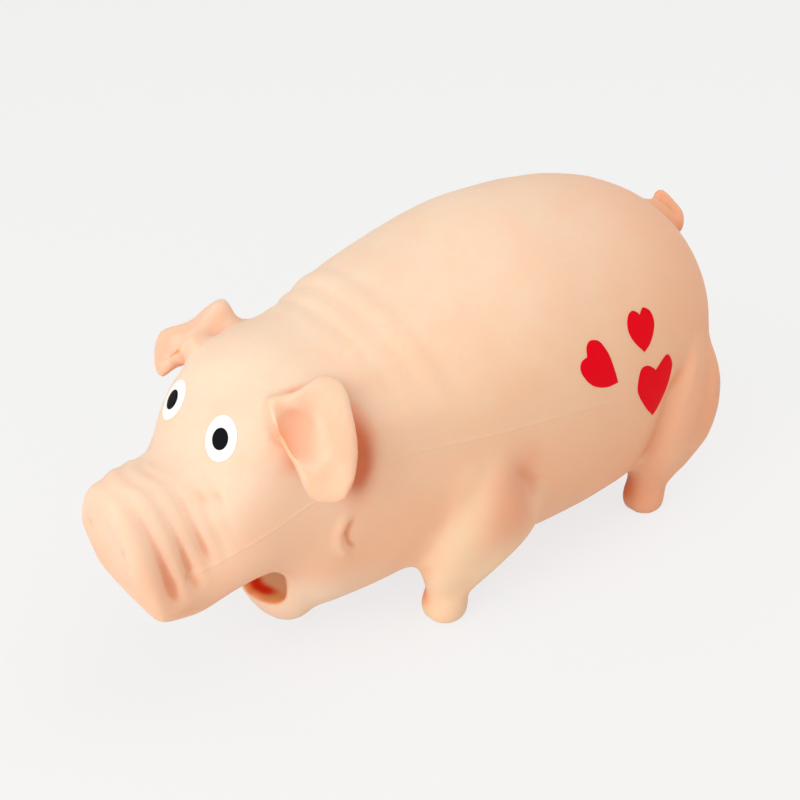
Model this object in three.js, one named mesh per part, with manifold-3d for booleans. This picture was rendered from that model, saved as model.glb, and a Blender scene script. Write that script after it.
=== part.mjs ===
// A latex squeeze toy for dogs, in the shape of a pig, in millimetres.
// The snout points along -Y, the pig's left side is +X and the four feet stand on Z = 0.
// The skin is cast hollow, filled with fleece, and holds a bellows with a grunting reed.
import * as THREE from "three";
import { mergeVertices } from "three/addons/utils/BufferGeometryUtils.js";
import Module from "manifold-3d";

const wasm = await Module();
wasm.setup();

// Overall sizes and clearances
const LENGTH = 230;
const WALL = 2.5;
const GAP = 0.3;
const SNOUT_FRONT = -LENGTH / 2;
const TAIL_BACK = LENGTH / 2;
const NECK = SNOUT_FRONT + 71;

// Squeeze: how far the back is pressed down, and the band of flank that folds to let it
const SQUEEZE = 10;
const FLANK_HEIGHT = SQUEEZE + 1;

// Ribs of the skin: [place along Y, size], from the snout to the widest rib of the rump
const BACK_LINE = [
  [SNOUT_FRONT, 78],
  [SNOUT_FRONT + 9, 80],
  [SNOUT_FRONT + 18, 80],
  [SNOUT_FRONT + 25, 83.5],
  [SNOUT_FRONT + 33, 92],
  [SNOUT_FRONT + 41, 101],
  [SNOUT_FRONT + 52, 106.5],
  [SNOUT_FRONT + 67, 109],
  [SNOUT_FRONT + 105, 118],
  [30, 125.5],
];
const BELLY_LINE = [
  [SNOUT_FRONT, 36.2],
  [SNOUT_FRONT + 8, 31.6],
  [SNOUT_FRONT + 18, 27.4],
  [SNOUT_FRONT + 26, 29.6],
  [SNOUT_FRONT + 32, 33.8],
  [SNOUT_FRONT + 40, 35],
  [SNOUT_FRONT + 47, 33.4],
  [SNOUT_FRONT + 56, 18.4],
  [SNOUT_FRONT + 62, 9.2],
  [SNOUT_FRONT + 69, 8.8],
  [SNOUT_FRONT + 79, 9],
  [SNOUT_FRONT + 98, 11.6],
  [0, 9.4],
  [30, 5.6],
];
const SEAM_LINE = [
  [SNOUT_FRONT, 41],
  [SNOUT_FRONT + 17, 50],
  [SNOUT_FRONT + 34, 58],
  [SNOUT_FRONT + 52, 67],
  [SNOUT_FRONT + 77, 76],
  [0, 76],
  [30, 72],
  [TAIL_BACK - 5, 61],
];
const WIDTH_LINE = [
  [SNOUT_FRONT, 19.5],
  [SNOUT_FRONT + 17, 19],
  [SNOUT_FRONT + 34, 26],
  [SNOUT_FRONT + 52, 30],
  [SNOUT_FRONT + 70, 34],
  [0, 44.5],
  [30, 47],
];
const ROUND_ABOVE_LINE = [
  [SNOUT_FRONT, 2.2],
  [SNOUT_FRONT + 34, 2.9],
  [SNOUT_FRONT + 65, 2.3],
  [0, 2.15],
];
const ROUND_BELOW = 2.2;
const LEAST_BELOW = 3;
const RIM_RADIUS = 4;
const FACE_TILT = 0.25;
const NOSTRIL_HEIGHT = 61;

// Rump, a rounded cap behind the widest rib
const RUMP_RIB = 30;
const RUMP_BACK = TAIL_BACK - 2;
const RUMP_ROUND = 2.5;
const RUMP_BREADTH = 2.9;

// Folds in the skin over the snout and over the neck
const SNOUT_FOLDS = { first: SNOUT_FRONT + 7, count: 4, pitch: 6, height: 0.9 };
const NECK_FOLDS = { first: NECK - 4, count: 3, pitch: 8, height: 0.7 };

// Lower jaw, a rounded scoop, and the mouth pocket moulded into it
const JAW_Y = SNOUT_FRONT + 57;
const JAW = { y: JAW_Y, z: 29.7, halfWidth: 20, halfLength: 12.6, halfHeight: 23.8, power: 2 };
const MOUTH = { y: JAW_Y - 5, z: 29.5, halfWidth: 15.5, halfLength: 14, halfHeight: 10, power: 3 };
const VENT_RADIUS = 4;

// How far the fleece in the head stops behind the tip of the snout
const FLEECE_SETBACK = 14;

// Legs: [height, centre X, centre Y behind the foot, half width, half length] from the sole up
const SOLE_RADIUS = 6.6;
const FRONT_FOOT = -12;
const HIND_FOOT = TAIL_BACK - 33;
const FRONT_LEG = [
  [2, 28.5, 0, 7.4, 7.6],
  [5, 28.5, 0, 7.6, 7.8],
  [10, 28.5, 1, 6.9, 7],
  [14, 28.5, 4, 8, 10.5],
  [19, 29, 8.5, 10.5, 16.5],
  [27, 30, 12.5, 13.2, 21],
  [38, 32, 13.5, 15.5, 21.5],
  [50, 33.5, 11, 14.5, 15.5],
  [61, 34.5, 9, 11.5, 11],
  [70, 33, 8.5, 7, 6],
];
const HIND_LEG = [
  [2, 27.5, 0, 7.2, 7.4],
  [5, 27.5, 0, 7.4, 7.6],
  [10, 27.5, 1, 6.9, 7.2],
  [15, 28, 3, 8, 10],
  [21, 28.5, 4.5, 11, 13.5],
  [30, 28.5, 5.5, 15, 17],
  [42, 28.5, 5, 18, 18.5],
  [54, 28.5, 4.5, 18.5, 18],
  [66, 28.5, 4, 15.5, 15],
  [78, 28, 3, 9, 9],
];

// Ears, cupped leaves that face forwards, up and outwards
const EAR_PLACE = [27.9, SNOUT_FRONT + 47.6, 96.2];
const EAR_FACING = [0.562, -0.476, 0.677];
const EAR_POINTS = [0.767, -0.005, -0.641];
// Rim of an ear round its pit, from its root by the top lobe, the tip and the front: [along, across, raise]
const EAR_RIM = [
  [-10.5, -3.5, 0],
  [-8, 5.5, 0],
  [-9.3, 13.5, 0],
  [-5, 18.7, 0],
  [5, 17, 0.5],
  [13.2, 14.1, 0.5],
  [18.5, 11, 3],
  [22.7, 8, 5.5],
  [26, 3, 3],
  [24, -2, 0],
  [20.5, -5.5, -2],
  [12, -5.3, -0.5],
  [2, -5.2, 0.5],
];
// Backing is how much thicker the root of an ear is than its tip
const EAR = { cup: 4.4, cupShare: 0.75, thick: 5, backing: 7 };

// Tail, a curl of two strands: [X, Y from the tail's back, height, radius] along each
const TAIL_STRANDS = [
  [[-4, -18, 100, 5], [-1.3, -12, 99.6, 4.6], [1, -7.6, 96.8, 4], [4, -4.6, 93.6, 3.3]],
  [[4.2, -4.2, 94.4, 3.2], [3.4, -3.4, 96.6, 3.2], [0.8, -3.4, 98.8, 3], [-3, -5.4, 102.8, 2.8]],
];

// Painted eyes and hearts, thin films on the skin
const FILM = 0.8;
const SUNK = -0.1;
const LAST_SNOUT_FOLD = SNOUT_FOLDS.first + (SNOUT_FOLDS.count - 1) * SNOUT_FOLDS.pitch;
const EYE = { x: 13, y: LAST_SNOUT_FOLD + 7.6, width: 10, height: 13 };
const PUPIL = { width: 4.8, height: 6.2 };
const HEARTS = {
  heart_top: { y: 53, z: 90, width: 10, height: 15, lean: 4 },
  heart_front: { y: 34.5, z: 85, width: 13, height: 16, lean: 35 },
  heart_low: { y: 59.5, z: 67, width: 13, height: 19, lean: -14 },
};

// Grunter: barrel, tone board, reed and bellows on one upright axis
const VOICE = { y: 28, floor: 24, barrelRadius: 15, barrelWall: 2, barrelHeight: 20 };
const GRILLE = { thick: 2.4, holeRadius: 2, holeRing: 7.5, holes: 6 };
const FLANGE = { radius: 18.5, thick: 2.4 };
const BELLOWS = { radius: 18, foldDepth: 3.5, folds: 5, wall: 1, height: 32 };
const CROWN = { radius: 17.5, thick: 3 };
const BOARD = { radius: 6.5, plug: 4, height: 26, channelWidth: 5, channelDepth: 4 };
const REED = { width: 6.4, thick: 0.4, length: 18, lift: 0.35 };
const WEDGE = { thick: 3, grip: 3, relief: 0.45 };

// Materials
const latex = new THREE.MeshStandardMaterial({ color: 0xf3c39e, roughness: 0.5 });
const fleece = new THREE.MeshStandardMaterial({ color: 0xf2f0ea, roughness: 0.95 });
const whitePaint = new THREE.MeshStandardMaterial({ color: 0xffffff, roughness: 0.4 });
const blackPaint = new THREE.MeshStandardMaterial({ color: 0x16151a, roughness: 0.35 });
const redPaint = new THREE.MeshStandardMaterial({ color: 0xd90118, roughness: 0.4 });
const hardPlastic = new THREE.MeshStandardMaterial({ color: 0xe9e6dc, roughness: 0.4 });
const softPlastic = new THREE.MeshStandardMaterial({ color: 0xd8e2e6, roughness: 0.45 });
const reedFilm = new THREE.MeshStandardMaterial({ color: 0xc9d6a8, roughness: 0.3 });

// Monotone cubic curve through [place, value] points
function curveThrough(points) {
  const slopes = points.map((_, i) => {
    if (i === 0 || i === points.length - 1) return 0;
    const before = slope(points[i - 1], points[i]);
    const after = slope(points[i], points[i + 1]);
    return before * after <= 0 ? 0 : (2 * before * after) / (before + after);
  });
  return (place) => {
    const last = points.length - 1;
    if (place <= points[0][0]) return points[0][1];
    if (place >= points[last][0]) return points[last][1];
    const i = points.findIndex((p) => p[0] > place) - 1;
    const span = points[i + 1][0] - points[i][0];
    const t = (place - points[i][0]) / span;
    const ease = t * t * (3 - 2 * t);
    const bend = t * (1 - t) * span * ((1 - t) * slopes[i] - t * slopes[i + 1]);
    return points[i][1] + (points[i + 1][1] - points[i][1]) * ease + bend;
  };
}

function slope(a, b) {
  return (b[1] - a[1]) / (b[0] - a[0]);
}

const backAt = curveThrough(BACK_LINE);
const bellyAt = curveThrough(BELLY_LINE);
const seamAt = curveThrough(SEAM_LINE);
const halfWidthAt = curveThrough(WIDTH_LINE);
const roundAboveAt = curveThrough(ROUND_ABOVE_LINE);
const POLE = seamAt(RUMP_BACK);

// Cross-section of the skin at a place along Y, drawn in by an inset
function section(y, inset) {
  const radius = rimRadius(inset);
  const ahead = Math.min(Math.max(SNOUT_FRONT + inset + radius - y, 0), radius);
  const shrink = inset + radius - Math.sqrt(radius * radius - ahead * ahead);
  const along = Math.max((y - RUMP_RIB) / (RUMP_BACK - inset - RUMP_RIB), 0);
  const close = Math.max(1 - along ** RUMP_ROUND, 0) ** (1 / RUMP_ROUND);
  const narrow = Math.max(1 - along ** RUMP_BREADTH, 0) ** (1 / RUMP_BREADTH);
  const closed = (height) => (along > 0 ? POLE + (height - POLE) * close : height);
  const base = bellyAt(y) + shrink;
  return {
    half: (halfWidthAt(y) - shrink) * narrow,
    seam: closed(Math.max(seamAt(y), base + LEAST_BELOW)),
    top: closed(backAt(y) - shrink),
    base: closed(base),
  };
}

function rimRadius(inset) {
  return Math.max(RIM_RADIUS - inset, 0.5);
}

// Height of the folds pressed into the skin, strongest over the top
function foldHeight(folds, y, upward) {
  const along = (y - folds.first) / folds.pitch;
  if (along < 0 || along > folds.count || upward <= -0.2) return 0;
  const fade = Math.min(1, (upward + 0.2) / 0.5);
  return 0.5 * folds.height * fade * (1 - Math.cos(2 * Math.PI * along));
}

// The snout leans back below the nostrils, less and less towards the cheeks
function faceTilt(y) {
  return FACE_TILT * Math.max(0, 1 - (y - SNOUT_FRONT) / (EYE.y - SNOUT_FRONT));
}

function superPoint(angle, power) {
  const c = Math.cos(angle);
  const s = Math.sin(angle);
  return [Math.sign(c) * Math.abs(c) ** (2 / power), Math.sign(s) * Math.abs(s) ** (2 / power)];
}

function skinRing(y, inset, sides, folded) {
  const rib = section(y, inset);
  return Array.from({ length: sides }, (_, i) => {
    const angle = (2 * Math.PI * i) / sides;
    const [across, upward] = superPoint(angle, angle < Math.PI ? roundAboveAt(y) : ROUND_BELOW);
    const height = upward > 0 ? rib.top - rib.seam : rib.seam - rib.base;
    const snout = folded ? foldHeight(SNOUT_FOLDS, y, upward) : 0;
    const fold = snout + (folded ? foldHeight(NECK_FOLDS, y, upward) : 0);
    const z = rib.seam + upward * (height + fold);
    const lean = faceTilt(y) * Math.max(NOSTRIL_HEIGHT - z, 0);
    return new THREE.Vector3(across * (rib.half + fold), y + lean, z);
  });
}

// Closed surface through rings of points, with a pole at each end
function closedLoft(rings, firstPole, lastPole) {
  const sides = rings[0].length;
  const points = [firstPole, ...rings.flat(), lastPole];
  const index = [];
  for (let i = 0; i < sides; i++) {
    const next = (i + 1) % sides;
    index.push(0, 1 + next, 1 + i);
    for (let r = 0; r + 1 < rings.length; r++) {
      const a = 1 + r * sides;
      const b = a + sides;
      index.push(a + i, a + next, b + i, a + next, b + next, b + i);
    }
    const end = 1 + (rings.length - 1) * sides;
    index.push(end + i, end + next, points.length - 1);
  }
  if (signedVolume(points, index) < 0) index.reverse();
  return new THREE.BufferGeometry().setFromPoints(points).setIndex(index);
}

function signedVolume(points, index) {
  let sum = 0;
  for (let k = 0; k < index.length; k += 3) {
    const edge = points[index[k + 1]].clone().cross(points[index[k + 2]]);
    sum += points[index[k]].dot(edge);
  }
  return sum;
}

function middle(ring) {
  return ring.reduce((sum, p) => sum.add(p), new THREE.Vector3()).divideScalar(ring.length);
}

// A closed geometry as a solid for joins and cuts
function solid(geometry) {
  const bare = geometry.clone();
  bare.deleteAttribute("normal");
  bare.deleteAttribute("uv");
  const merged = mergeVertices(bare, 1e-4);
  return new wasm.Manifold(
    new wasm.Mesh({
      numProp: 3,
      vertProperties: new Float32Array(merged.attributes.position.array),
      triVerts: new Uint32Array(merged.index.array),
    }),
  );
}

const toy = new THREE.Group();
toy.name = "pig_dog_toy";

function addPiece(name, body, material) {
  const made = body.getMesh();
  const geometry = new THREE.BufferGeometry();
  geometry.setAttribute("position", new THREE.BufferAttribute(made.vertProperties, 3));
  geometry.setIndex(new THREE.BufferAttribute(made.triVerts, 1));
  geometry.computeVertexNormals();
  const mesh = new THREE.Mesh(geometry, material.clone());
  mesh.name = name;
  toy.add(mesh);
}

// Whole outside of the skin from snout to rump, drawn in by an inset
function skinSolid(inset, sides, folded = false) {
  const quarter = [0, 1, 2, 3].map((k) => Math.sin((k * Math.PI) / 6));
  const rim = quarter.map((share) => SNOUT_FRONT + inset + rimRadius(inset) * share);
  const reach = RUMP_BACK - inset - RUMP_RIB;
  const rump = [0, 12, 24, 35, 46, 56, 66, 75, 83].map((turn) => {
    return RUMP_RIB + reach * Math.sin(THREE.MathUtils.degToRad(turn));
  });
  const fine = folded ? 4 : 1;
  const places = [...rim];
  const runs = [
    [SNOUT_FOLDS.first, foldsEnd(SNOUT_FOLDS), SNOUT_FOLDS.pitch / fine],
    [foldsEnd(SNOUT_FOLDS), NECK_FOLDS.first, 5],
    [NECK_FOLDS.first, foldsEnd(NECK_FOLDS), NECK_FOLDS.pitch / fine],
    [foldsEnd(NECK_FOLDS), RUMP_RIB, 8],
  ];
  for (const [from, to, step] of runs) {
    for (let y = from; y < to - step / 2; y += step) places.push(y);
  }
  const rings = [...places, ...rump].map((y) => skinRing(y, inset, sides, folded));
  const pole = new THREE.Vector3(0, RUMP_BACK - inset, POLE);
  return solid(closedLoft(rings, middle(rings[0]), pole));
}

function foldsEnd(folds) {
  return folds.first + folds.count * folds.pitch;
}

// Ball stretched to three half sizes, boxier for a power above 2
function ellipsoid(place, grow) {
  const shape = new THREE.SphereGeometry(1, 24, 14);
  const points = shape.attributes.position;
  const p = new THREE.Vector3();
  for (let i = 0; i < points.count; i++) {
    p.fromBufferAttribute(points, i);
    const sum = p.toArray().reduce((total, c) => total + Math.abs(c) ** place.power, 0);
    p.multiplyScalar(sum ** (-1 / place.power));
    points.setXYZ(i, p.x, p.y, p.z);
  }
  shape.scale(place.halfWidth + grow, place.halfLength + grow, place.halfHeight + grow);
  shape.translate(0, place.y, place.z);
  return solid(shape);
}

function block(low, high) {
  const size = high.map((h, i) => h - low[i]);
  const shape = new THREE.BoxGeometry(...size);
  shape.translate(...low.map((l, i) => l + size[i] / 2));
  return solid(shape);
}

// Upright turned solid from a closed outline of [radius, height]
function turned(outline, sides, x, y) {
  const shape = new THREE.LatheGeometry(outline.map((p) => new THREE.Vector2(...p)), sides);
  shape.rotateX(Math.PI / 2);
  shape.translate(x, y, 0);
  return solid(shape);
}

function disc(radius, low, high, sides, x, y) {
  return turned([[0, low], [radius, low], [radius, high], [0, high]], sides, x, y);
}

// Skin: one hollow casting, divided at the neck and along the mould's parting line
const FAR = 400;
const outside = skinSolid(0, 36, true);
const inside = skinSolid(WALL, 20);
const cleared = skinSolid(-GAP, 36, true);
const stuffing = skinSolid(WALL + GAP, 20);
const aheadOfNeck = block([-FAR, -FAR, -FAR], [FAR, NECK - GAP / 2, FAR]);
const behindNeck = block([-FAR, NECK + GAP / 2, -FAR], [FAR, FAR, FAR]);

// Everything above the parting line, lifted by a shift
function aboveSeam(shift) {
  const outline = new THREE.Shape();
  outline.moveTo(NECK - 10, FAR);
  outline.lineTo(NECK - 10, seamAt(NECK - 10) + shift);
  for (let y = NECK; y <= RUMP_BACK + 10; y += 6) outline.lineTo(y, seamAt(y) + shift);
  outline.lineTo(RUMP_BACK + 20, POLE + shift);
  outline.lineTo(RUMP_BACK + 20, FAR);
  const shape = new THREE.ExtrudeGeometry(outline, { depth: 2 * FAR, bevelEnabled: false });
  shape.translate(0, 0, -FAR);
  const x = new THREE.Vector3(1, 0, 0);
  const y = new THREE.Vector3(0, 1, 0);
  const z = new THREE.Vector3(0, 0, 1);
  shape.applyMatrix4(new THREE.Matrix4().makeBasis(y, z, x));
  return solid(shape);
}

const muzzle = outside.add(ellipsoid(JAW, 0)).subtract(ellipsoid(MOUTH, 0));
const hollow = inside.add(ellipsoid(JAW, -WALL)).subtract(ellipsoid(MOUTH, WALL));
const ventShape = new THREE.CylinderGeometry(VENT_RADIUS, VENT_RADIUS, 4 * WALL + 2, 16);
ventShape.translate(0, MOUTH.y + MOUTH.halfLength + WALL, MOUTH.z);
const vent = solid(ventShape);
const headShell = muzzle.subtract(hollow).intersect(aheadOfNeck).subtract(vent);
const jawFront = MOUTH.y - MOUTH.halfLength - WALL - GAP;
const jawTop = MOUTH.z + MOUTH.halfHeight + WALL + GAP;
const aroundMouth = block([-FAR, jawFront, -FAR], [FAR, FAR, jawTop]);
const jawSpace = block([-FAR, jawFront + GAP, -FAR], [FAR, FAR, jawTop - GAP]);
addPiece("head_skin", headShell.subtract(aroundMouth), latex);
addPiece("jaw_skin", headShell.intersect(jawSpace), latex);

const trunk = outside.subtract(inside).intersect(behindNeck);
const upper = trunk.intersect(aboveSeam(GAP / 2));
addPiece("belly_skin", trunk.subtract(aboveSeam(-GAP / 2)), latex);
addPiece("flank_skin", upper.subtract(aboveSeam(FLANK_HEIGHT - GAP / 2)), latex);
addPiece("back_skin", upper.intersect(aboveSeam(FLANK_HEIGHT + GAP / 2)), latex);

// Legs, from flat soles up into the flanks
function leg(name, levels, foot, side) {
  const [, soleX, soleY] = levels[0];
  const sole = [0, soleX, soleY, SOLE_RADIUS, SOLE_RADIUS];
  const rings = [sole, ...levels].map(([z, x, y, across, along]) => {
    return Array.from({ length: 22 }, (_, i) => {
      const angle = (2 * Math.PI * i) / 22;
      const out = side * (x + across * Math.cos(angle));
      return new THREE.Vector3(out, foot + y + along * Math.sin(angle), z);
    });
  });
  const top = levels[levels.length - 1];
  const pole = new THREE.Vector3(side * top[1], foot + top[2], top[0] + 3);
  const body = solid(closedLoft(rings, middle(rings[0]), pole));
  addPiece(name, body.subtract(cleared), latex);
}

leg("front_leg_left", FRONT_LEG, FRONT_FOOT, 1);
leg("front_leg_right", FRONT_LEG, FRONT_FOOT, -1);
leg("hind_leg_left", HIND_LEG, HIND_FOOT, 1);
leg("hind_leg_right", HIND_LEG, HIND_FOOT, -1);

// Ears: the hollow face, round the rim and back along the outside
function ear(name, side) {
  const facing = new THREE.Vector3(...EAR_FACING).normalize();
  const tip = new THREE.Vector3(...EAR_POINTS);
  tip.addScaledVector(facing, -tip.dot(facing)).normalize();
  const across = facing.clone().cross(tip);
  const place = new THREE.Vector3(...EAR_PLACE);
  const corners = EAR_RIM.map((p) => new THREE.Vector3(...p));
  const rim = new THREE.CatmullRomCurve3(corners, true).getPoints(26).slice(0, 26);
  const at = (edge, share, raise) => {
    const p = place.clone().addScaledVector(tip, share * edge.x);
    p.addScaledVector(across, share * edge.y);
    const cup = EAR.cup * (1 - THREE.MathUtils.smoothstep(share, 0, EAR.cupShare));
    p.addScaledVector(facing, raise + share * share * edge.z - cup);
    return p.setX(side * p.x);
  };
  const half = EAR.thick / 2;
  const front = [[0.2, half], [0.45, half], [0.7, half], [0.87, 0.9 * half], [0.96, 0.55 * half]];
  const back = [[1, 0, 0], [0.96, 0.55, 0.4], [0.87, 0.9, 0.8], [0.6, 1, 1], [0.3, 1, 1]];
  const behind = (edge, slim, root) => {
    const rooted = 1 - THREE.MathUtils.smoothstep(edge.x, -9, 9);
    return -slim * half - root * rooted * EAR.backing;
  };
  const rings = [
    ...front.map(([share, raise]) => rim.map((edge) => at(edge, share, raise))),
    ...back.map(([share, slim, root]) => rim.map((edge) => at(edge, share, behind(edge, slim, root)))),
  ];
  const body = solid(closedLoft(rings, at(rim[0], 0, half), at(rim[0], 0, behind(rim[0], 1, 1))));
  addPiece(name, body.subtract(cleared), latex);
}

ear("ear_left", 1);
ear("ear_right", -1);

// Tail
function strand(stops) {
  const line = new THREE.CatmullRomCurve3(stops.map(([x, y, z]) => new THREE.Vector3(x, TAIL_BACK + y, z)));
  const steps = 7;
  const { normals, binormals, tangents } = line.computeFrenetFrames(steps, false);
  const ringAt = (k, slim, ahead) => {
    const place = (k / steps) * (stops.length - 1);
    const before = Math.min(Math.floor(place), stops.length - 2);
    const radius = THREE.MathUtils.lerp(stops[before][3], stops[before + 1][3], place - before);
    const core = line.getPoint(k / steps).addScaledVector(tangents[k], ahead * radius);
    return Array.from({ length: 10 }, (_, i) => {
      const angle = (2 * Math.PI * i) / 10;
      const p = core.clone().addScaledVector(normals[k], slim * radius * Math.cos(angle));
      return p.addScaledVector(binormals[k], slim * radius * Math.sin(angle));
    });
  };
  const rings = Array.from({ length: steps + 1 }, (_, k) => ringAt(k, 1, 0));
  rings.unshift(ringAt(0, 0.7, -0.7));
  rings.push(ringAt(steps, 0.85, 0.5), ringAt(steps, 0.5, 0.85));
  return solid(closedLoft(rings, middle(ringAt(0, 1, -1)), middle(ringAt(steps, 1, 1))));
}
const [outwards, backwards] = TAIL_STRANDS.map(strand);
addPiece("tail", outwards.add(backwards).subtract(cleared), latex);

// Grunter levels, from the grille up to the crown
const grilleTop = VOICE.floor + GRILLE.thick;
const barrelBase = grilleTop + GAP;
const barrelTop = barrelBase + VOICE.barrelHeight;
const flangeTop = barrelTop + FLANGE.thick;
const bellowsBase = flangeTop + GAP;
const bellowsTop = bellowsBase + BELLOWS.height;
const crownBase = bellowsTop + GAP;
const crownTop = crownBase + CROWN.thick;
const bore = VOICE.barrelRadius - VOICE.barrelWall;

// Fleece wads that fill the skin, with a stepped well for the grunter
const shaftRadius = Math.max(FLANGE.radius, BELLOWS.radius, CROWN.radius) + GAP;
const shaft = disc(shaftRadius, barrelTop - GAP, FAR, 28, 0, VOICE.y);
const socket = disc(VOICE.barrelRadius + GAP, VOICE.floor - GAP, barrelTop, 28, 0, VOICE.y);
const well = shaft.add(socket);
const belowPress = block([-FAR, -FAR, -FAR], [FAR, FAR, crownTop]);
const abovePress = block([-FAR, -FAR, crownTop + GAP], [FAR, FAR, FAR]);
const headStuffing = stuffing.add(ellipsoid(JAW, -WALL - GAP));
const headWad = headStuffing.subtract(ellipsoid(MOUTH, WALL + GAP)).subtract(vent);
const wadFront = SNOUT_FRONT + FLEECE_SETBACK;
const headSpace = block([-FAR, wadFront, -FAR], [FAR, NECK - GAP / 2, FAR]);
addPiece("fleece_head", headWad.intersect(headSpace), fleece);
const trunkStuffing = stuffing.intersect(behindNeck);
addPiece("fleece_lower", trunkStuffing.intersect(belowPress).subtract(well), fleece);
addPiece("fleece_upper", trunkStuffing.intersect(abovePress), fleece);

// Grunter
let grille = disc(VOICE.barrelRadius, VOICE.floor, grilleTop, 28, 0, VOICE.y);
for (let k = 0; k < GRILLE.holes; k++) {
  const turn = (2 * Math.PI * k) / GRILLE.holes;
  const x = GRILLE.holeRing * Math.cos(turn);
  const y = VOICE.y + GRILLE.holeRing * Math.sin(turn);
  grille = grille.subtract(disc(GRILLE.holeRadius, VOICE.floor - 1, grilleTop + 1, 10, x, y));
}
grille = grille.subtract(disc(GRILLE.holeRadius, VOICE.floor - 1, grilleTop + 1, 10, 0, VOICE.y));
addPiece("voice_grille", grille, hardPlastic);

const barrelOutline = [
  [bore, barrelBase], [VOICE.barrelRadius, barrelBase], [VOICE.barrelRadius, barrelTop],
  [FLANGE.radius, barrelTop], [FLANGE.radius, flangeTop], [bore, flangeTop], [bore, barrelBase],
];
addPiece("voice_barrel", turned(barrelOutline, 28, 0, VOICE.y), hardPlastic);

// Tone board: a round plug and a half-round trough with the air channel down its flat face
const plugTop = barrelBase + BOARD.plug;
const boardTop = barrelBase + BOARD.height;
const plug = disc(bore - GAP, barrelBase, plugTop, 28, 0, VOICE.y);
const trough = disc(BOARD.radius, barrelBase, boardTop, 24, 0, VOICE.y);
const flatAway = block([-FAR, VOICE.y - FAR, plugTop], [FAR, VOICE.y, FAR]);
const channel = block(
  [-BOARD.channelWidth / 2, VOICE.y - 1, barrelBase - 1],
  [BOARD.channelWidth / 2, VOICE.y + BOARD.channelDepth, boardTop - 2],
);
const board = plug.add(trough).subtract(flatAway).subtract(channel);
addPiece("voice_tone_board", board, hardPlastic);

const reedBase = plugTop + GAP;
const reedFace = VOICE.y - REED.lift;
const reed = block(
  [-REED.width / 2, reedFace - REED.thick, reedBase],
  [REED.width / 2, reedFace, reedBase + REED.length],
);
addPiece("voice_reed", reed, reedFilm);

const wedgeFace = reedFace - REED.thick - WEDGE.relief;
const wedge = block(
  [-REED.width / 2, wedgeFace - WEDGE.thick, reedBase],
  [REED.width / 2, wedgeFace, reedBase + WEDGE.grip],
);
addPiece("voice_wedge", wedge, softPlastic);

const bellowsPitch = BELLOWS.height / BELLOWS.folds;
const ripple = Array.from({ length: BELLOWS.folds * 2 + 1 }, (_, k) => {
  const depth = k % 2 ? 0 : BELLOWS.foldDepth;
  return [BELLOWS.radius - depth, bellowsBase + (k * bellowsPitch) / 2];
});
const lining = ripple.map(([r, z]) => [r - BELLOWS.wall, z]).reverse();
const bellows = turned([...ripple, ...lining, ripple[0]], 20, 0, VOICE.y);
addPiece("voice_bellows", bellows, softPlastic);
addPiece("voice_crown", disc(CROWN.radius, crownBase, crownTop, 28, 0, VOICE.y), hardPlastic);

// Distance off the skin from which the painted films are laid on it
const STANDOFF = 20;

// How far a point stands outside the skin: below 0 inside, above 0 outside
function outsideBy(p) {
  const rib = section(p.y, 0);
  const above = p.z >= rib.seam;
  const power = above ? roundAboveAt(p.y) : ROUND_BELOW;
  const height = above ? rib.top - rib.seam : rib.seam - rib.base;
  return (Math.abs(p.x) / rib.half) ** power + (Math.abs(p.z - rib.seam) / height) ** power - 1;
}

// Where a line from outside first meets the skin
function meetSkin(start, aim) {
  let [near, far] = [0, 3 * STANDOFF];
  for (let k = 0; k < 40; k++) {
    const half = (near + far) / 2;
    if (outsideBy(start.clone().addScaledVector(aim, half)) > 0) near = half;
    else far = half;
  }
  return start.clone().addScaledVector(aim, near);
}

function skinNormal(p) {
  const step = 0.05;
  const rise = ["x", "y", "z"].map((axis) => {
    const ahead = p.clone();
    const behind = p.clone();
    ahead[axis] += step;
    behind[axis] -= step;
    return outsideBy(ahead) - outsideBy(behind);
  });
  return new THREE.Vector3(...rise).normalize();
}

// Thin film on the skin around a centre, with an outline of [across, up] for each turn
function film(name, start, aim, outline, low, material) {
  const centre = meetSkin(start, aim);
  const out = skinNormal(centre);
  const across = new THREE.Vector3(0, 0, 1).cross(out).normalize();
  const up = out.clone().cross(across);
  const at = (share, turn, raise) => {
    const [a, b] = outline(turn);
    const p = centre.clone().addScaledVector(across, share * a).addScaledVector(up, share * b);
    const hit = meetSkin(p.addScaledVector(out, STANDOFF), out.clone().negate());
    return hit.addScaledVector(out, raise);
  };
  const levels = [[0.5, low], [1, low], [1, low + FILM], [0.5, low + FILM]];
  const rings = levels.map(([share, raise]) => {
    return Array.from({ length: 20 }, (_, i) => at(share, (2 * Math.PI * i) / 20, raise));
  });
  const body = solid(closedLoft(rings, at(0, 0, low), at(0, 0, low + FILM)));
  addPiece(name, body.subtract(cleared), material);
}

const DOWN = new THREE.Vector3(0, 0, -1);
const oval = (size) => (turn) => {
  return [(size.width / 2) * Math.cos(turn), (size.height / 2) * Math.sin(turn)];
};
for (const [name, side] of [["left", 1], ["right", -1]]) {
  const start = new THREE.Vector3(side * EYE.x, EYE.y, backAt(EYE.y) + STANDOFF);
  film(`eye_white_${name}`, start, DOWN, oval(EYE), SUNK, whitePaint);
  film(`eye_pupil_${name}`, start, DOWN, oval(PUPIL), SUNK + FILM + GAP, blackPaint);
}

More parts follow.
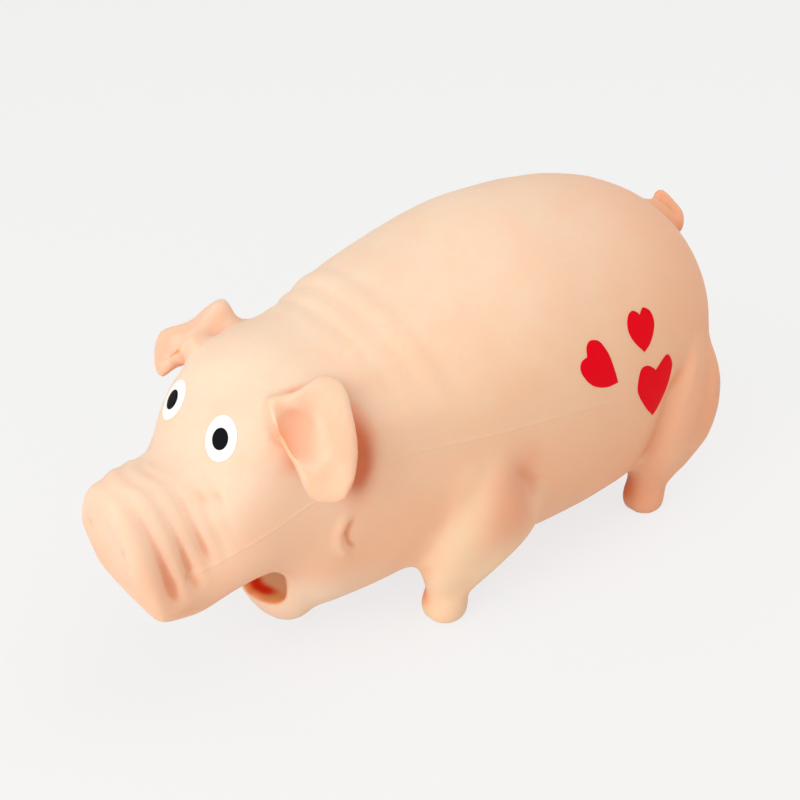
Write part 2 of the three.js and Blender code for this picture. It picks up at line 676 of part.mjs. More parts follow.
// Heart outline: two lobes above and a point below, leaned over on the flank
const heart = ({ width, height, lean }) => (turn) => {
  const a = (width / 2) * Math.sin(turn) ** 3;
  const wave = 13 * Math.cos(turn) - 5 * Math.cos(2 * turn) - 2 * Math.cos(3 * turn);
  const b = (height * (wave - Math.cos(4 * turn) + 2.5)) / 29;
  const tilt = THREE.MathUtils.degToRad(lean);
  return [
    a * Math.cos(tilt) - b * Math.sin(tilt),
    a * Math.sin(tilt) + b * Math.cos(tilt),
  ];
};
const INWARD = new THREE.Vector3(-1, 0, 0);
for (const [name, size] of Object.entries(HEARTS)) {
  const start = new THREE.Vector3(halfWidthAt(size.y) + STANDOFF, size.y, size.z);
  film(name, start, INWARD, heart(size), SUNK, redPaint);
}

export default toy;
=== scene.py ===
"""A soft latex pig with a fleece filling and a grunter inside, standing on a pale studio floor."""

import math

import bmesh
import bpy
import numpy as np
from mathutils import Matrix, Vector, noise
from mathutils.bvhtree import BVHTree


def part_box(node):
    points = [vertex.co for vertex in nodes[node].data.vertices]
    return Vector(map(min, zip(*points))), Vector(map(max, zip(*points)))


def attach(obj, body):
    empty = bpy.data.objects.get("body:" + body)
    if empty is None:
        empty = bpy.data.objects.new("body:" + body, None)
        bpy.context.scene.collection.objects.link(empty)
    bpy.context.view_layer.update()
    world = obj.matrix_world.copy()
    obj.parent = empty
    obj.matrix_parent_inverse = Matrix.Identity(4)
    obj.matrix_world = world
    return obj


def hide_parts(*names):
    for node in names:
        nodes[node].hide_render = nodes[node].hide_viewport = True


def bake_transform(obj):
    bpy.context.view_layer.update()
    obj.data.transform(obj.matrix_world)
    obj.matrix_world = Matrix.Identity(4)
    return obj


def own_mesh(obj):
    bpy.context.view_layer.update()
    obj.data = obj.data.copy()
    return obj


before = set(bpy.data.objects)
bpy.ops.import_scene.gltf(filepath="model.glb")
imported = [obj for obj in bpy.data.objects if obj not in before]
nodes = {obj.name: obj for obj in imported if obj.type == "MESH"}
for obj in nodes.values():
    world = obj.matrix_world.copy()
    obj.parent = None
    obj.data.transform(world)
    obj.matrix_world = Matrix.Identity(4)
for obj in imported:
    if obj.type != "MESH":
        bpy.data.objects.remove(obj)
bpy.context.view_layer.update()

# The sculpting is done in millimetres and handed to Blender in metres
MM = 0.001

# The camera looks at the toy from the front left, well above it
CAMERA_AZIMUTH = 51.8
CAMERA_ELEVATION = 32.7
CAMERA_DISTANCE = 0.473
CAMERA_TARGET = Vector((-0.0054, -0.0039, 0.0623))
CAMERA_LENS = 65.7
CAMERA_SENSOR = 36

# Soft lamps: name, place, what they are aimed at, size and power
SOFTBOXES = (
    ("key", (0.25, -0.88, 0.75), (0, 0, 0.06), (0.5, 0.5), 3.3),
    ("top", (0.2, 0.25, 1.05), (0, 0, 0.06), (0.7, 0.7), 2.5),
    ("table", (0.05, -1.5, 0.32), (0, 0, 0.05), (1.0, 0.4), 4.8),
    ("fill", (0.9, -0.55, 0.4), (0, 0, 0.06), (0.6, 0.6), 1.0),
)
SKY_STRENGTH = 0.58
SKY_COLOUR = (1.0, 0.95, 0.9, 1.0)

# The floor: what it throws back on the toy, how it looks, and how much of its look is a glow
FLOOR_RADIUS = 6.0
FLOOR_SIDES = 96
FLOOR_BOUNCE = (0.8, 0.73, 0.67, 1.0)
FLOOR_SEEN = (0.75, 0.75, 0.75, 1.0)
FLOOR_GLOW = 0.8

# The latex skin is one casting, so its CAD parts become one piece
EAR_NODES = ["ear_left", "ear_right"]
LIMB_NODES = ["front_leg_left", "front_leg_right", "hind_leg_left", "hind_leg_right"]
TRUNK_NODES = ["head_skin", "jaw_skin", "belly_skin", "flank_skin", "back_skin"]
SKIN_NODES = [*TRUNK_NODES, *LIMB_NODES, *EAR_NODES, "tail"]
FLEECE_NODES = ["fleece_head", "fleece_lower", "fleece_upper"]
VOICE_NODES = (
    "voice_grille voice_barrel voice_tone_board voice_wedge voice_bellows voice_crown"
).split()

# The CAD parts stand a little apart, so each grows by this before they are joined in a mesh of
# even cells
JOIN_REACH = 0.25
SKIN_CELL = 1.12

# How strongly the joined skin is smoothed: in general, on ears and tail, on feet and mouth, and
# at most on the rim of the snout, whose reach is behind its front
SMOOTHING_ROUNDS = 60
SMOOTHING = 0.5
EDGE_SMOOTHING = 0.1
FINE_SMOOTHING = 0.08
RIM_SMOOTHING = 0.15
RIM_REACH = (5, 10)
FOOT_TOP = 16.0

# How far from the middle plane the sides of the head, of the cheeks and of the haunches start
HEAD_SIDE = (18, 24)
CHEEK_SIDE = (20, 26)
HAUNCH_SIDE = (20, 27)

# The pocket of the mouth, with the shares of its reach that are smoothed less and that take its painted
# glow and shade
MOUTH_CENTRE = np.array((0, -63, 29.5))
MOUTH_HALF = np.array((15.5, 14, 10))
MOUTH_POWER = 3
MOUTH_RIM = 1.25
MOUTH_WALL = 1.08
MOUTH_WALL_GROWTH = 2

# The red band of painted shade along the fold across the floor of the mouth, and the lip in front of it
THROAT_Y = -65.2
THROAT_SLANT = 0.25
THROAT_WIDTH = 3.0
THROAT_SIDE = (3, 11)
LIP_REACH = (-0.5, 3.5)

# Wrinkles round the snout: place, depth on the sides, depth on the bridge, width, lower end
SNOUT_FRONT = -115.0
SNOUT_WRINKLES = (
    (-107.6, 2.9, 0.7, 2.5, 45),
    (-101.1, 2.3, 0.7, 2.1, 47),
    (-95.5, 1.6, 0.6, 1.9, 55),
    (-91.1, 1.1, 0.4, 1.7, 58),
    (-87.6, 0.6, 0.2, 1.6, 62),
)
WRINKLE_FADE = (-4, 6)
WRINKLE_SHALLOWS = 0.55
WRINKLE_SHALLOWS_REACH = (6, 26)
WRINKLE_LEAN = 0.18
WRINKLE_BOW = 2.4
WRINKLE_BOW_HALF = 7.0
BRIDGE_HEIGHT = (70, 78)
BRIDGE_EDGE = (9, 16)

# Nostrils: places across and up, half sizes, depth, and where the face of the snout ends
NOSTRIL_PLACE = (9.8, 62.5)
NOSTRIL_HALF = (3.0, 4.0)
NOSTRIL_DEPTH = 1.2
SNOUT_FACE = (-110, -107)

# Folds over the neck: place on top, height, width, lower end; and grooves: place on top, depth
NECK_FOLDS = ((-43.4, 0.3, 2.6, 101), (-37.0, 0.4, 2.6, 86), (-27.7, 0.4, 3.0, 86))
NECK_FOLD_FADE = (-4, 7)
NECK_GROOVES = ((-40.2, 0.25), (-32.4, 0.3), (-22.6, 0.2))
NECK_GROOVE_WIDTH = 2.4
NECK_GROOVE_HEIGHT = (88, 100)
NECK_DRIFT = 0.27
NECK_TOP = 112.0

# Dips over the bridge of the snout and over the neck: place, depth, width, heights
SADDLES = ((-90, 2.3, 6.5, (68, 77)), (-40, 2.3, 12, (86, 100)))

# Dimple in each cheek: a crescent round a centre, a groove with a bulge outside it. Its ends are
# in degrees; the groove has a depth and a width, the bulge a height, a width and a distance.
DIMPLE_CENTRE = (-44.4, 53.2)
DIMPLE_RADIUS = 8.4
DIMPLE_STARTS = (125, 155)
DIMPLE_ENDS = (216, 246)
DIMPLE_GROOVE = (1.3, 0.9)
DIMPLE_BULGE = (1.4, 1.7, 2.3)

# Crests up the front and the hind leg, as heights and places along the toy
FRONT_CREST = ((12, -18.2), (29, -19.2), (45, -16.6), (65, -14.2))
HIND_CREST = ((22, 77.8), (40, 75.6), (55, 76.7), (73, 83.4))

# Haunches: a crest up each leg and a valley beside it, as heights and places along the toy,
# then how far it stands out and how wide it is
HAUNCH_LINES = (
    (FRONT_CREST, 1.2, 4.5),
    (((8, -9.5), (15, -5.8), (21, -2.6), (28, 2.0)), 0.8, 3.5),
    (((43, 9.8), (52, 9.0), (62, 1.4)), -1.2, 5.0),
    (HIND_CREST, 1.6, 3.6),
    (((22, 88.5), (40, 87.5), (55, 88.5), (73, 95.0)), -1.6, 5.0),
    (((30, 67.6), (48, 67.5), (59, 68.8), (68, 74.0)), -1.5, 3.6),
)
HAUNCH_FOOT_FADE = (-4, 6)
HAUNCH_TOP_FADE = (-6, 6)

# The painted shade on the backs of the legs: how far it reaches behind each crest, and how it fades
LEG_BACK_SHADES = ((FRONT_CREST, 20), (HIND_CREST, 34))
LEG_BACK_START = (1, 13)
LEG_BACK_END = (0, 9)
LEG_BACK_TOP = (-10, 8)
LEG_BACK_FOOT = (24, 46)

# A small cleft in the front of each foot: places of the feet across and along, then the cleft
FEET = ((28.5, -12.0), (27.5, 82.0))
CLEFT_DEPTH = 0.35
CLEFT_SHIFT = 0.6
CLEFT_WIDTH = 1.0
CLEFT_FRONT = (-4, 0)
CLEFT_TOP = (2, 7)
CLEFT_REACH = 16

# Hollows in the face of the left ear: a pit at its root and a scoop further down, the ways that
# the face looks and the ear points, and the depths of both in the form and in the painted shade
EAR_PIT = np.array((27.9, -67.4, 96.2))
EAR_PIT_RADIUS = 6.5
EAR_SCOOP = 9.0
EAR_SCOOP_RADIUS = 8.5
EAR_FACING = np.array((0.562, -0.476, 0.677))
EAR_POINTS = np.array((0.767, -0.005, -0.641))
EAR_FACE_REACH = (3, 6)
EAR_DEPTHS = (1.6, 1.3)
EAR_FACE_SHADES = (0.6, 0.6)

# The shaded patch of the head behind each ear: its middle along and up, and its half size
EAR_SHADE = (-49.5, 80.0)
EAR_SHADE_HALF = (5.5, 13.0)

# The groove between the two strands of the tail
TAIL_GROOVE = ((-1.2, 107.5, 103.0), (0.7, 108.7, 101.5), (3.5, 110.0, 99.5), (4.9, 110.1, 98.8))
TAIL_GROOVE_DEPTH = 1.3
TAIL_GROOVE_WIDTH = 0.9

# The way that faces turned away from the light look, back and down, where shade is painted on them
SHADE_FACING = np.array((0.503, 0.704, -0.503))
SHADE_FACING_RANGE = (0.5, 0.95)

# Raised line along both sides where the two halves of the mould met
FLASH_LINE = (
    (-98.9, 51.9), (-91.4, 54.7), (-84.9, 59.0), (-79.3, 61.3), (-73.3, 64.2), (-67.2, 67.0),
    (-56.0, 72.0), (-45.0, 76.0), (-30.5, 77.3), (-11.8, 76.4), (9.6, 74.8), (25.3, 73.4), (48.0, 70.0),
)
FLASH_HEIGHT = 0.2
FLASH_WIDTH = 0.42
FLASH_START = (-3, 3)
FLASH_END = (-14, 0)
FLASH_INNERMOST = 8
FLASH_WANDER = 0.35
FLASH_RAGGEDNESS = 0.6
FLASH_FINE_MESH = 1.7

# How deep a crease is that takes its full painted shade
CREASE_DEPTH = 0.35

# How the toy's own hollows are found: lines of sight from just above each point, and how far
# they look. No normal lies along the cross direction.
SIGHT_LINES = 14
SIGHT_START = 0.3
SIGHT_REACH = 30.0
SIGHT_CROSS = (0.36, 0.48, 0.8)

# Painted films: points round the edge, rings from the middle out and back below the skin
FILM_TURNS = 96
FILM_RINGS = (0.2, 0.4, 0.6, 0.8, 0.92, 0.97, 1.0)
FILM_UNDERSIDE = (1.0, 0.6, 0.2)
FILM_SINK = -0.5
FILM_LIFT = 0.06
FILM_THICKNESS = 0.14
FILM_PROBE = 0.02

# Eyes: width and height of each oval, how far they lean, and how high the pupil lies on the white
EYE_WHITE = (10.8, 13.2)
EYE_PUPIL = (5.5, 6.3)
EYE_LEAN = 9.0
PUPIL_LIFT = 0.22

# Hearts, each as two strokes of the brush: across and up from the middle of its place
HEARTS = {
    "heart_top": (
        (
            (1.5, 4.8), (0.7, 5.9), (-1.3, 7.2), (-3.4, 6.7),
            (-4.9, 4.4), (-4.9, 1.1), (-2.9, -2.8), (1.4, -7.7),
        ),
        (
            (1.4, -7.7), (4.3, -6.0), (6.6, -2.7), (7.6, 0.4),
            (7.0, 3.6), (5.2, 5.7), (3.3, 6.4), (1.5, 4.8),
        ),
    ),
    "heart_front": (
        (
            (-3.9, 4.1), (-6.1, 3.5), (-7.0, 1.6), (-6.4, -0.8),
            (-4.0, -4.3), (-0.8, -7.0), (4.2, -9.0), (9.1, -9.2),
        ),
        (
            (9.1, -9.2), (7.4, -3.9), (5.4, 1.8), (2.4, 6.8),
            (-0.2, 8.4), (-2.3, 8.5), (-3.6, 7.0), (-3.9, 4.1),
        ),
    ),
    "heart_low": (
        (
            (-0.6, 6.7), (-2.2, 8.3), (-5.0, 10.0), (-7.8, 9.9),
            (-9.1, 6.4), (-8.8, 1.4), (-4.0, -6.0), (0.6, -11.2),
        ),
        (
            (0.6, -11.2), (3.4, -8.6), (6.3, -4.2), (7.9, 1.4),
            (8.5, 5.2), (6.7, 8.9), (4.2, 9.8), (-0.6, 6.7),
        ),
    ),
}

# Wads of fleece: cell of the mesh, height and fineness of the tufts, and how far they stay inside
WAD_CELL = 2.0
TUFT_HEIGHT = 0.9
TUFT_FINENESS = 0.22
WAD_SHRINK = 0.8


def colour(red, green, blue):
    """A colour of the screen, 0 to 255, as the linear values that a shader takes."""
    linear = [
        c / 12.92 if c <= 0.04045 else ((c + 0.055) / 1.055) ** 2.4
        for c in (red / 255, green / 255, blue / 255)
    ]
    return (*linear, 1.0)


BACKDROP = colour(250, 250, 250)

# Tints of the latex, and the colours of its painted shade and glow
CREAM = colour(248, 222, 198)
PINK = colour(250, 209, 177)
DEEP_PINK = colour(248, 184, 147)
ORANGE = colour(230, 126, 74)
TAN = colour(228, 150, 94)
SALMON = colour(240, 152, 108)
STRAW = colour(250, 224, 190)
DUSKY_PINK = colour(230, 160, 128)
EAR_SHADOW_BROWN = colour(198, 94, 52)
APRICOT = colour(246, 146, 92)
MOUTH_PEACH = colour(255, 221, 190)
LIP_AMBER = colour(255, 197, 134)
THROAT_SHADE_RED = colour(232, 50, 14)


def ramp(low, high, value):
    """0 below low, 1 above high, and a smooth step between them."""
    share = np.clip((value - low) / (high - low), 0, 1)
    return share * share * (3 - 2 * share)


def fade(place, reach, value):
    """A smooth step that starts and ends at two distances from a place."""
    return ramp(place + reach[0], place + reach[1], value)


def bell(value, width):
    return np.exp(-((value / width) ** 2))


def folded(points):
    """How far points are from the middle plane, along the toy and up."""
    x, y, z = points.T
    return np.abs(x), y, z


def read(items, field, width, kind=np.float64):
    values = np.empty(len(items) * width, kind)
    items.foreach_get(field, values)
    return values.reshape(-1, width) if width > 1 else values


class Surface:
    """A mesh's points in millimetres, with what it takes to smooth and to push them."""

    def __init__(self, mesh):
        self.mesh = mesh
        self.points = read(mesh.vertices, "co", 3) / MM
        self.ends = read(mesh.edges, "vertices", 2, np.int32).T
        self.count = len(self.points)
        self.degree = np.bincount(self.ends.ravel(), minlength=self.count)

    def mean(self, values):
        """The mean of the values at the neighbours of each point."""
        a, b = self.ends
        flat = values.reshape(self.count, -1)
        sums = [
            np.bincount(a, column[b], self.count) + np.bincount(b, column[a], self.count)
            for column in flat.T
        ]
        return (np.stack(sums, 1) / self.degree[:, None]).reshape(values.shape)

    def smooth(self, values, times, share=0.5):
        for _ in range(times):
            values = values + share * (self.mean(values) - values)
        return values

    def smooth_form(self, times, share):
        """Smooths the points without the shrinking that plain smoothing brings."""
        once = self.smooth(self.points, times, share)
        self.points = once + self.smooth(self.points - once, times, share)

    def store(self):
        self.mesh.vertices.foreach_set("co", (self.points * MM).ravel())
        self.mesh.update()

    def normals(self):
        self.store()
        return read(self.mesh.vertex_normals, "vector", 3)

    def push(self, heights):
        self.points = self.points + heights[:, None] * self.normals()

    def attribute(self, name, values):
        kind = "FLOAT" if values.ndim == 1 else "FLOAT_VECTOR"
        field = "value" if values.ndim == 1 else "vector"
        layer = self.mesh.attributes.new(name, kind, "POINT")
        layer.data.foreach_set(field, values.astype(np.float32).ravel())


def new_object(name, data):
    made = bpy.data.objects.new(name, data)
    bpy.context.scene.collection.objects.link(made)
    return made


def welded(names, grow):
    """One mesh of several CAD nodes, each grown outwards by a little."""
    joined = bmesh.new()
    for name in names:
        part = bmesh.new()
        part.from_mesh(nodes[name].data)
        bmesh.ops.remove_doubles(part, verts=part.verts, dist=1e-6)
        part.normal_update()
        for vert in part.verts:
            vert.co += vert.normal * grow * MM
        grown = bpy.data.meshes.new("grown")
        part.to_mesh(grown)
        part.free()
        joined.from_mesh(grown)
        bpy.data.meshes.remove(grown)
    mesh = bpy.data.meshes.new("welded")
    joined.to_mesh(mesh)
    joined.free()
    return mesh


def keep_largest_shell(mesh):
    """Drops every closed shell of a mesh except the one with the most points."""
    body = bmesh.new()
    body.from_mesh(mesh)
    unseen = set(body.verts)
    shells = []
    while unseen:
        shell = {unseen.pop()}
        edge = list(shell)
        while edge:
            vert = edge.pop()
            for link in vert.link_edges:
                other = link.other_vert(vert)
                if other in unseen:
                    unseen.discard(other)
                    shell.add(other)
                    edge.append(other)
        shells.append(shell)
    shells.sort(key=len)
    spare = [vert for shell in shells[:-1] for vert in shell]
    bmesh.ops.delete(body, geom=spare, context="VERTS")
    body.to_mesh(mesh)
    body.free()


def remeshed(name, source, cell):
    """An even mesh around everything that the source encloses."""
    rough = new_object(name + "_rough", source)
    remesh = rough.modifiers.new("remesh", "REMESH")
    remesh.mode = "VOXEL"
    remesh.voxel_size = cell * MM
    graph = bpy.context.evaluated_depsgraph_get()
    mesh = bpy.data.meshes.new_from_object(rough.evaluated_get(graph))
    bpy.data.objects.remove(rough)
    bpy.data.meshes.remove(source)
    mesh.name = name
    keep_largest_shell(mesh)
    return mesh


def tree_of(mesh):
    body = bmesh.new()
    body.from_mesh(mesh)
    tree = BVHTree.FromBMesh(body)
    body.free()
    return tree


def distance_to(names, points, within):
    """How far each point is from the nearest of some CAD nodes, up to a limit, in millimetres."""
    source = welded(names, 0)
    tree = tree_of(source)
    bpy.data.meshes.remove(source)
    found = (tree.find_nearest(Vector(p) * MM, within * MM)[3] for p in points)
    return np.array([within if gap is None else gap / MM for gap in found])


def close_to(names, points, reach):
    """Which points lie within reach of some CAD nodes."""
    return distance_to(names, points, 2 * reach) < reach


def snout_wrinkles(points):
    x, y, z = folded(points)
    bridge = ramp(*BRIDGE_HEIGHT, z)
    bow = WRINKLE_BOW * bridge * np.clip(1 - (x / WRINKLE_BOW_HALF) ** 2, 0, 1)
    place = y + WRINKLE_LEAN * (z - BRIDGE_HEIGHT[0]) + bow
    on_top = bridge * (1 - ramp(*BRIDGE_EDGE, x))
    height = np.zeros(len(points))
    for at, side_depth, top_depth, width, end in SNOUT_WRINKLES:
        side = side_depth * (1 - WRINKLE_SHALLOWS * fade(end, WRINKLE_SHALLOWS_REACH, z))
        depth = side + (top_depth - side) * on_top
        height -= depth * bell(place - at, width) * fade(end, WRINKLE_FADE, z)
    return height


def nostrils(points):
    x, y, z = folded(points)
    across, up = (x - NOSTRIL_PLACE[0]) / NOSTRIL_HALF[0], (z - NOSTRIL_PLACE[1]) / NOSTRIL_HALF[1]
    return -NOSTRIL_DEPTH * np.exp(-(across**2) - up**2) * (1 - ramp(*SNOUT_FACE, y))


def neck_folds(points):
    _, y, z = folded(points)
    place = y - NECK_DRIFT * (NECK_TOP - z)
    height = np.zeros(len(points))
    for at, rise, width, end in NECK_FOLDS:
        height += rise * bell(place - at, width) * fade(end, NECK_FOLD_FADE, z)
    for at, depth in NECK_GROOVES:
        height -= depth * bell(place - at, NECK_GROOVE_WIDTH) * ramp(*NECK_GROOVE_HEIGHT, z)
    return height


def saddles(points):
    _, y, z = folded(points)
    height = np.zeros(len(points))
    for at, depth, width, heights in SADDLES:
        height -= depth * bell(y - at, width) * ramp(*heights, z)
    return height


def cheek_dimples(points):
    x, y, z = folded(points)
    along, up = y - DIMPLE_CENTRE[0], z - DIMPLE_CENTRE[1]
    outside = np.hypot(along, up) - DIMPLE_RADIUS
    turn = np.degrees(np.arctan2(up, along)) % 360
    arc = ramp(*DIMPLE_STARTS, turn) * (1 - ramp(*DIMPLE_ENDS, turn))
    depth, width = DIMPLE_GROOVE
    rise, breadth, distance = DIMPLE_BULGE
    relief = rise * bell(outside - distance, breadth) - depth * bell(outside, width)
    return relief * ramp(*CHEEK_SIDE, x) * arc


def haunches(points):
    x, y, z = folded(points)
    height = np.zeros(len(points))
    for stops, rise, width in HAUNCH_LINES:
        up, along = np.array(stops).T
        ends = fade(up[0], HAUNCH_FOOT_FADE, z) * (1 - fade(up[-1], HAUNCH_TOP_FADE, z))
        height += rise * bell(y - np.interp(z, up, along), width) * ends
    return height * ramp(*HAUNCH_SIDE, x)


def shaded_leg_backs(points):
    """1 on the hind half of each leg, where shade is painted, and 0 elsewhere."""
    x, y, z = folded(points)
    shade = np.zeros(len(points))
    for crest, reach in LEG_BACK_SHADES:
        up, along = np.array(crest).T
        behind = y - np.interp(z, up, along)
        half = ramp(*LEG_BACK_START, behind) * (1 - fade(reach, LEG_BACK_END, behind))
        shade += half * (1 - fade(up[-1], LEG_BACK_TOP, z))
    return shade * ramp(*HAUNCH_SIDE, x) * ramp(*LEG_BACK_FOOT, z)


def toe_clefts(points):
    x, y, z = folded(points)
    height = np.zeros(len(points))
    for across, along in FEET:
        aside, ahead = x - across - CLEFT_SHIFT, y - along
        front = (1 - ramp(*CLEFT_FRONT, ahead)) * (np.abs(ahead) < CLEFT_REACH)
        height -= CLEFT_DEPTH * bell(aside, CLEFT_WIDTH) * front * (1 - ramp(*CLEFT_TOP, z))
    return height


def ear_hollows(points, normals, pit, scoop):
    """A hollow near the root of each ear's face and a second one below it, by their depths."""
    flip = np.where(points[:, :1] < 0, -1, 1) * (1, 0, 0) + (0, 1, 1)
    away = points * flip - EAR_PIT
    depth = away @ EAR_FACING
    flat = away - depth[:, None] * EAR_FACING
    root = bell(np.linalg.norm(flat, axis=1), EAR_PIT_RADIUS)
    lower = bell(np.linalg.norm(flat - EAR_SCOOP * EAR_POINTS, axis=1), EAR_SCOOP_RADIUS)
    on_face = (1 - ramp(*EAR_FACE_REACH, np.abs(depth))) * ((normals * flip) @ EAR_FACING > 0)
    return (pit * root + scoop * lower) * on_face


def behind_ears(points):
    """1 on the sides of the head that the ears hang over, and 0 elsewhere."""
    x, y, z = folded(points)
    along, up = bell(y - EAR_SHADE[0], EAR_SHADE_HALF[0]), bell(z - EAR_SHADE[1], EAR_SHADE_HALF[1])
    return along * up * ramp(*HEAD_SIDE, x)


def tail_groove(points):
    near = np.full(len(points), np.inf)
    for start, end in zip(TAIL_GROOVE, TAIL_GROOVE[1:]):
        start, along = np.array(start), np.subtract(end, start)
        share = np.clip((points - start) @ along / (along @ along), 0, 1)
        near = np.minimum(near, np.linalg.norm(points - start - share[:, None] * along, axis=1))
    return -TAIL_GROOVE_DEPTH * bell(near, TAIL_GROOVE_WIDTH)


def mouth_reach(points, grow):
    """1 on the wall of the pocket in the mouth, less inside it and more outside."""
    share = np.abs((points - MOUTH_CENTRE) / (MOUTH_HALF + grow))
    return np.sum(share**MOUTH_POWER, axis=1) ** (1 / MOUTH_POWER)


def flash_offset(points):
    """How far each point is above the flash line, and 1 along the line, 0 past its ends."""
    x, y, z = folded(points)
    wander = FLASH_WANDER * np.array([noise.noise((v * 0.16, 0.0, 3.0)) for v in y])
    places, heights = np.array(FLASH_LINE).T
    along = fade(places[0], FLASH_START, y) * (1 - fade(places[-1], FLASH_END, y))
    return z - np.interp(y, places, heights) - wander, along * (x > FLASH_INNERMOST)


def refine_flash(mesh):
    """Splits the faces along the flash line, so that its thin ridge has points to stand on."""
    offset, along = flash_offset(Surface(mesh).points)
    near = (np.abs(offset) < FLASH_FINE_MESH) & (along > 0)
    body = bmesh.new()
    body.from_mesh(mesh)
    chosen = [e for e in body.edges if near[e.verts[0].index] and near[e.verts[1].index]]
    bmesh.ops.subdivide_edges(body, edges=chosen, cuts=2, use_grid_fill=True, smooth=0.0)
    body.to_mesh(mesh)
    body.free()


def cast_skin():
    """The skin as one closed surface around its CAD nodes, with the joints between them smoothed."""
    mesh = remeshed("skin", welded(SKIN_NODES + FLEECE_NODES + VOICE_NODES, JOIN_REACH), SKIN_CELL)
    rough = Surface(mesh)
    _, y, z = folded(rough.points)
    share = np.full(rough.count, SMOOTHING)
    share[close_to([*EAR_NODES, "tail"], rough.points, 1.0)] = EDGE_SMOOTHING
    share[z < FOOT_TOP] = FINE_SMOOTHING
    share[mouth_reach(rough.points, 0) < MOUTH_RIM] = FINE_SMOOTHING
    rim = 1 - fade(SNOUT_FRONT, RIM_REACH, y)
    share -= rim * np.maximum(share - RIM_SMOOTHING, 0)
    share = rough.smooth(share, 4)
    rough.smooth_form(SMOOTHING_ROUNDS, share[:, None])
    rough.push(np.full(rough.count, -JOIN_REACH))
    rough.store()
    refine_flash(mesh)
    skin = Surface(mesh)
    skin.points = skin.smooth(skin.points, 2)
    return skin


def sculpt(skin):
    """Presses the fine forms of the mould into the skin."""
    points = skin.points
    skin.push(
        snout_wrinkles(points)
        + neck_folds(points)
        + cheek_dimples(points)
        + haunches(points)
        - ear_hollows(points, skin.normals(), *EAR_DEPTHS)
        + tail_groove(points)
        + saddles(points)
        + nostrils(points)
        + toe_clefts(points)
    )
    skin.points = skin.smooth(skin.points, 2, 0.4)


def creases(skin):
    """How deep in a crease each point lies, up to 1, or how high on a ridge, down to -1."""
    hollow = np.sum((skin.smooth(skin.points, 10) - skin.points) * skin.normals(), axis=1)
    return np.clip(skin.smooth(hollow, 3) / CREASE_DEPTH, -1, 1)


def inside_mouth(skin):
    """1 on the walls inside the mouth, and 0 elsewhere."""
    inward = np.sum((MOUTH_CENTRE - skin.points) * skin.normals(), axis=1) > 0
    pocket = (mouth_reach(skin.points, MOUTH_WALL_GROWTH) < MOUTH_WALL) & inward
    return np.clip(2.2 * skin.smooth(pocket.astype(float), 40) - 0.9, 0, 1)


def raise_flash(skin):
    """Raises the ragged flash line, and tells how near to it each point is, 0 to 1."""
    offset, along = flash_offset(skin.points)
    ragged = np.array([noise.noise(Vector(p) * 0.5) for p in skin.points])
    flash = bell(offset, FLASH_WIDTH) * along * (1 - behind_ears(skin.points))
    skin.push(FLASH_HEIGHT * flash * (1 + FLASH_RAGGEDNESS * ragged))
    skin.store()
    return flash


def enclosed(surface):
    """How much of the space in front of each point is closed off by the toy itself, 0 to 1."""
    tree = tree_of(surface.mesh)
    normals = surface.normals()
    turns = np.arange(SIGHT_LINES) * math.pi * (3 - math.sqrt(5))
    rise = np.sqrt((np.arange(SIGHT_LINES) + 0.5) / SIGHT_LINES)
    flat = np.sqrt(1 - rise**2)
    looks = np.stack((flat * np.cos(turns), flat * np.sin(turns), rise), 1)
    side = np.cross(normals, SIGHT_CROSS)
    side /= np.linalg.norm(side, axis=1)[:, None]
    over = np.cross(normals, side)
    starts = [Vector(p) for p in (surface.points + normals * SIGHT_START) * MM]
    blocked = np.zeros(surface.count)
    for across, along, out in looks:
        aims = across * side + along * over + out * normals
        hits = (tree.ray_cast(start, Vector(aim), SIGHT_REACH * MM) for start, aim in zip(starts, aims))
        blocked += [hit is not None for hit, _, _, _ in hits]
    return surface.smooth(blocked / SIGHT_LINES, 6)


def mark_tints_and_shade(skin):
    """Marks where the latex is tinted and where shade is painted on it, as attributes that its material
    reads.
    """
    points, normals = skin.points, skin.normals()
    x, y, _ = folded(points)
    ear = skin.smooth(close_to(EAR_NODES, points, 0.8).astype(float), 4)
    ear_face = skin.smooth(ear_hollows(points, normals, *EAR_FACE_SHADES), 4)
    # Painted shade on the ears, deepest in the hollows of their faces
    skin.attribute("ear", 0.55 * ear + 0.7 * ear_face)
    # Painted shadow of each ear on the head behind it
    skin.attribute("painted_ear_shadow", behind_ears(points) * (1 - ear))
    skin.attribute("tail", skin.smooth(close_to(["tail"], points, 1.5).astype(float), 6))
    limb = skin.smooth(1 - ramp(0.5, 5, distance_to(LIMB_NODES, points, 6.0)), 40)
    skin.attribute("limb", limb)
    outward = normals * np.where(points[:, :1] < 0, (-1, 1, 1), (1, 1, 1))
    # Painted shade on faces turned away from the light, back and down, less on the limbs
    skin.attribute("away", skin.smooth(ramp(*SHADE_FACING_RANGE, outward @ SHADE_FACING) * (1 - 0.6 * limb), 12))
    # Painted shade on the hind half of each leg
    skin.attribute("painted_leg_shade", skin.smooth(shaded_leg_backs(points), 30))
    behind = y - THROAT_Y - THROAT_SLANT * x
    skin.attribute("lip", 1 - ramp(*LIP_REACH, behind))
    # A red band of painted shade along the fold across the floor of the mouth
    skin.attribute("throat", bell(behind, THROAT_WIDTH) * (1 - ramp(*THROAT_SIDE, x)))
    # How closed off each point is, for painted shade in the toy's hollows
    skin.attribute("hollow", enclosed(skin))
    skin.attribute("rest", points)


def skin_surface():
    skin = cast_skin()
    sculpt(skin)
    crease, mouth = creases(skin), inside_mouth(skin)
    flash = raise_flash(skin)
    skin.attribute("crease", crease)
    skin.attribute("mouth", mouth)
    skin.attribute("flash", flash)
    mark_tints_and_shade(skin)
    skin.mesh.shade_smooth()
    return skin.mesh


